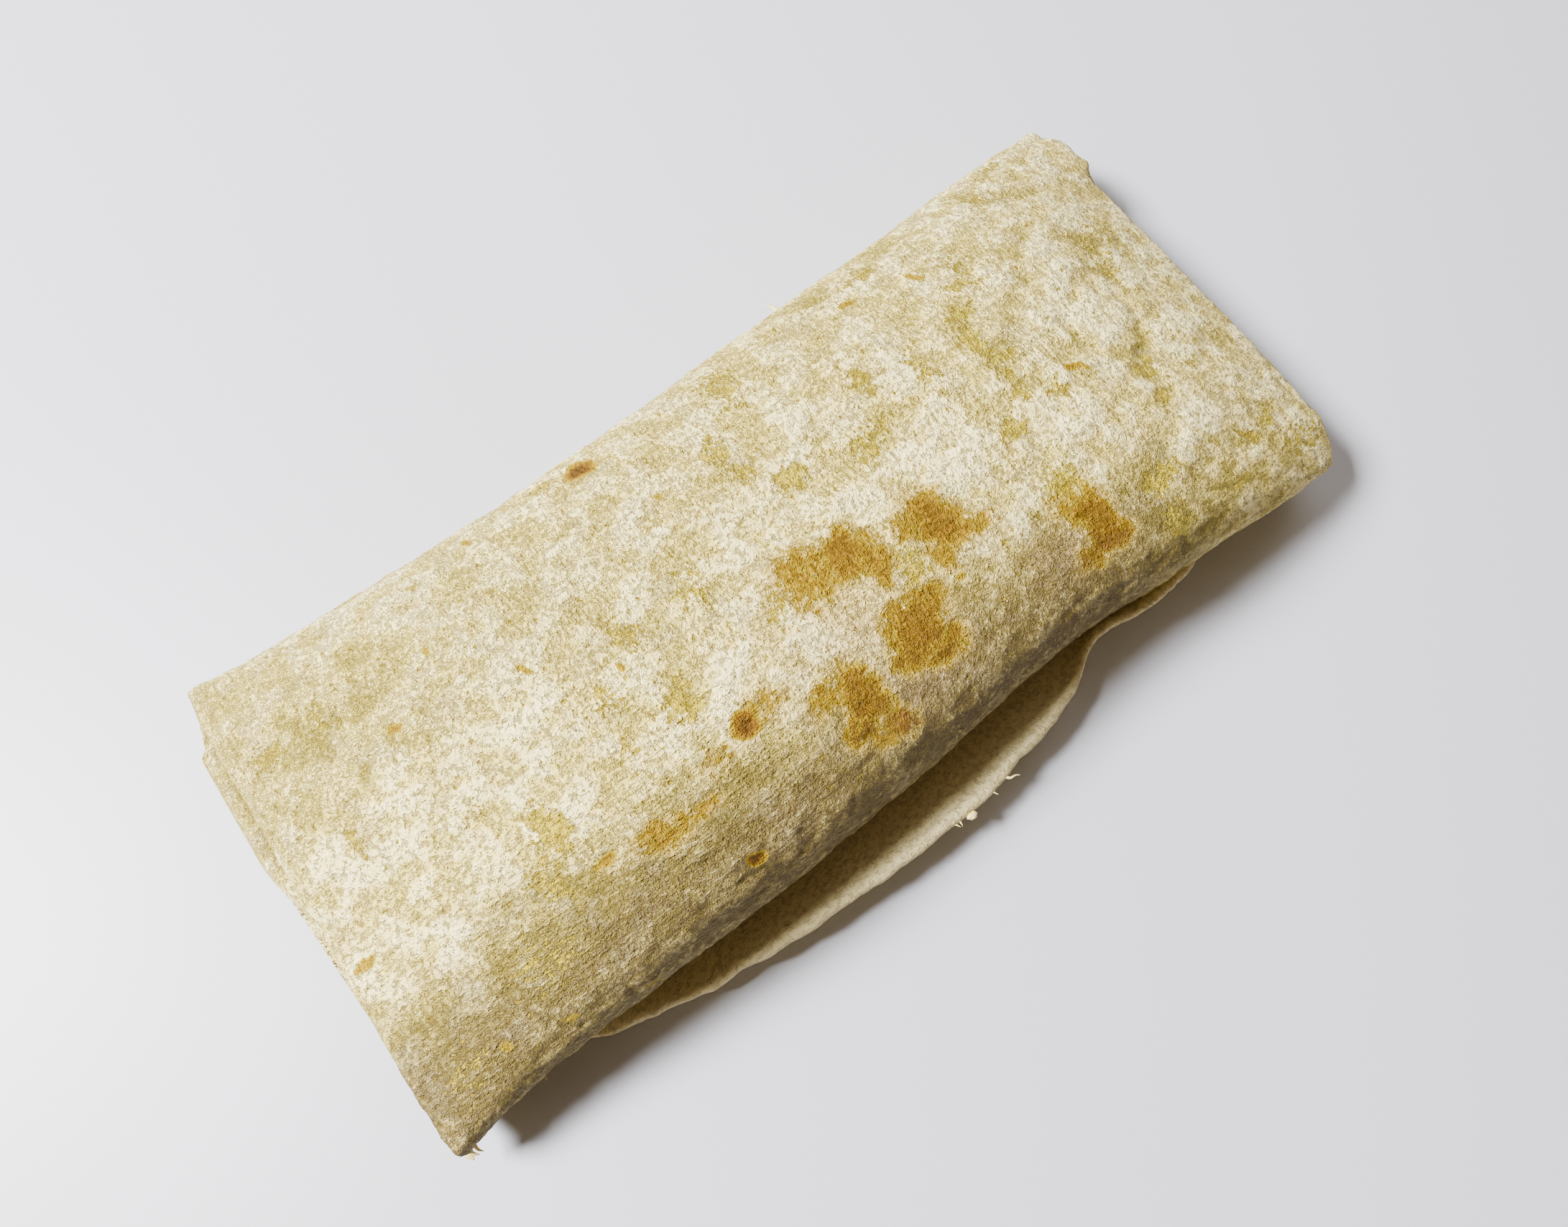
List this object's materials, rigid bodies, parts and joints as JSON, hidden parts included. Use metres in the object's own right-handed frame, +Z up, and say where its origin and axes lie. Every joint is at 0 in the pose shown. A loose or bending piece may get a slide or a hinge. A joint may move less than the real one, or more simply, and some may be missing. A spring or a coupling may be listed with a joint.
{
  "type": "burrito",
  "caption": "Whole uncut burrito: a wheat tortilla with both ends folded in, rolled round its filling and lying on its seam, with the free edge standing out as a loose lip along the front.",
  "frame": {"origin": "centre of the bounding box in plan, on the plane the burrito lies on", "axes": "+X along the roll, +Y to the back, away from the loose lip at the front, +Z up"},
  "size_m": [0.199, 0.0974, 0.0394],
  "materials": {
    "tortilla": null
  },
  "bodies": {
    "root": {"tortilla_roll": "tortilla"}
  },
  "joints": []
}
